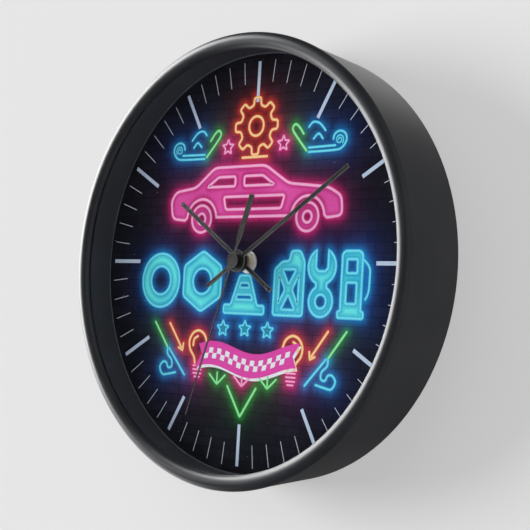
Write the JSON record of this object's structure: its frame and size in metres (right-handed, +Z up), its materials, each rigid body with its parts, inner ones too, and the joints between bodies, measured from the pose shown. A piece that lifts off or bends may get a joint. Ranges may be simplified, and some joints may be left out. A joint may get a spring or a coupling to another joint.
{
  "type": "wall clock",
  "caption": "Round wall clock with a rounded black frame, printed neon-style dial under a clear lens, straight bar hands, a sweep hand and a battery quartz movement.",
  "frame": {"origin": "centre of the back rim, in the plane that lies against the wall", "axes": "+Z up to twelve o'clock, +X right seen from the front, the dial faces -Y and +Y goes into the wall"},
  "size_m": [0.254, 0.048, 0.254],
  "materials": {
    "case_black": "satin",
    "clear_acrylic": "clear polished",
    "printed_face": "printed, satin",
    "hardboard": "fine brown hardboard",
    "zinc_steel": "zinc plated",
    "movement_black": "fine matt",
    "train_plastic": "smooth acetal",
    "brass": "turned",
    "soft_rubber": "matt",
    "nickel": "nickel plated",
    "hand_black": "satin black enamel",
    "magnet": "sintered",
    "soft_iron": "rolled",
    "copper_wire": "enamelled copper",
    "circuit_green": "solder mask",
    "resin_black": "glossy resin",
    "battery_sleeve": "plain printed sleeve"
  },
  "bodies": {
    "clock": {"front_bezel": "case_black", "clear_lens": "clear_acrylic", "spacer_ring": "case_black", "dial_print": "printed_face", "dial_board": "hardboard", "case_shell": "case_black", "support_ring": "case_black", "board_screws": "zinc_steel", "hanger_standoffs": "case_black", "hanger_plate": "zinc_steel", "hanger_screws": "zinc_steel", "movement_base": "movement_black", "movement_cover": "movement_black", "cover_screws": "zinc_steel", "middle_plate": "train_plastic", "threaded_bush": "brass", "rubber_washer": "soft_rubber", "dial_washer": "nickel", "hex_nut": "nickel", "stator": "soft_iron", "coil_core": "soft_iron", "coil_bobbin": "train_plastic", "coil_winding": "copper_wire", "circuit_board": "circuit_green", "quartz_crystal": "nickel", "circuit_chip": "resin_black", "positive_contact": "nickel", "negative_contact": "nickel"},
    "hour": {"hour_hand": "hand_black", "hour_collet": "brass", "hour_wheel": "train_plastic"},
    "minute": {"minute_hand": "hand_black", "minute_collet": "brass", "cannon_pinion": "train_plastic"},
    "motion": {"motion_wheel": "train_plastic"},
    "knob": {"setting_knob": "movement_black"},
    "second": {"second_hand": "hand_black", "second_collet": "brass", "second_wheel": "train_plastic"},
    "third": {"third_wheel": "train_plastic"},
    "centre": {"centre_wheel": "train_plastic"},
    "intermediate": {"intermediate_wheel": "train_plastic"},
    "rotor": {"rotor_pinion": "train_plastic", "rotor_magnet": "magnet"},
    "battery": {"battery_can": "battery_sleeve", "battery_cap": "nickel", "battery_base": "nickel"}
  },
  "joints": [
    {"name": "minute_turn", "type": "hinge", "parent": "clock", "child": "minute", "pos_m": [0, -0.0375, 0], "axis": [0, 1, 0], "continuous": true},
    {"name": "hour_turn", "type": "hinge", "parent": "clock", "child": "hour", "pos_m": [0, -0.034, 0], "axis": [0, 1, 0], "continuous": true},
    {"name": "motion_turn", "type": "hinge", "parent": "clock", "child": "motion", "pos_m": [-0.0096, -0.0202, 0], "axis": [0, 1, 0], "continuous": true},
    {"name": "knob_turn", "type": "hinge", "parent": "clock", "child": "knob", "pos_m": [-0.01746, -0.0062, -0.00551], "axis": [0, 1, 0], "continuous": true},
    {"name": "second_turn", "type": "hinge", "parent": "clock", "child": "second", "pos_m": [0, -0.041, 0], "axis": [0, 1, 0], "continuous": true},
    {"name": "third_turn", "type": "hinge", "parent": "clock", "child": "third", "pos_m": [-0.00349, -0.0182, 0.00958], "axis": [0, 1, 0], "continuous": true},
    {"name": "centre_turn", "type": "hinge", "parent": "clock", "child": "centre", "pos_m": [0, -0.0192, 0], "axis": [0, 1, 0], "continuous": true},
    {"name": "intermediate_turn", "type": "hinge", "parent": "clock", "child": "intermediate", "pos_m": [0.00455, -0.0147, 0.00788], "axis": [0, 1, 0], "continuous": true},
    {"name": "rotor_turn", "type": "hinge", "parent": "clock", "child": "rotor", "pos_m": [0.01182, -0.0129, 0.01208], "axis": [0, 1, 0], "continuous": true},
    {"name": "battery_out", "type": "slide", "parent": "clock", "child": "battery", "axis": [0, 1, 0], "range_m": [0, 0.03]}
  ],
  "couplings": [
    {"joint": "hour_turn", "follows": "minute_turn", "ratio": 0.083333},
    {"joint": "motion_turn", "follows": "minute_turn", "ratio": -0.33333},
    {"joint": "knob_turn", "follows": "minute_turn", "ratio": 1},
    {"joint": "third_turn", "follows": "second_turn", "ratio": -0.13333},
    {"joint": "centre_turn", "follows": "second_turn", "ratio": 0.016667},
    {"joint": "intermediate_turn", "follows": "second_turn", "ratio": -6},
    {"joint": "rotor_turn", "follows": "second_turn", "ratio": 30}
  ]
}
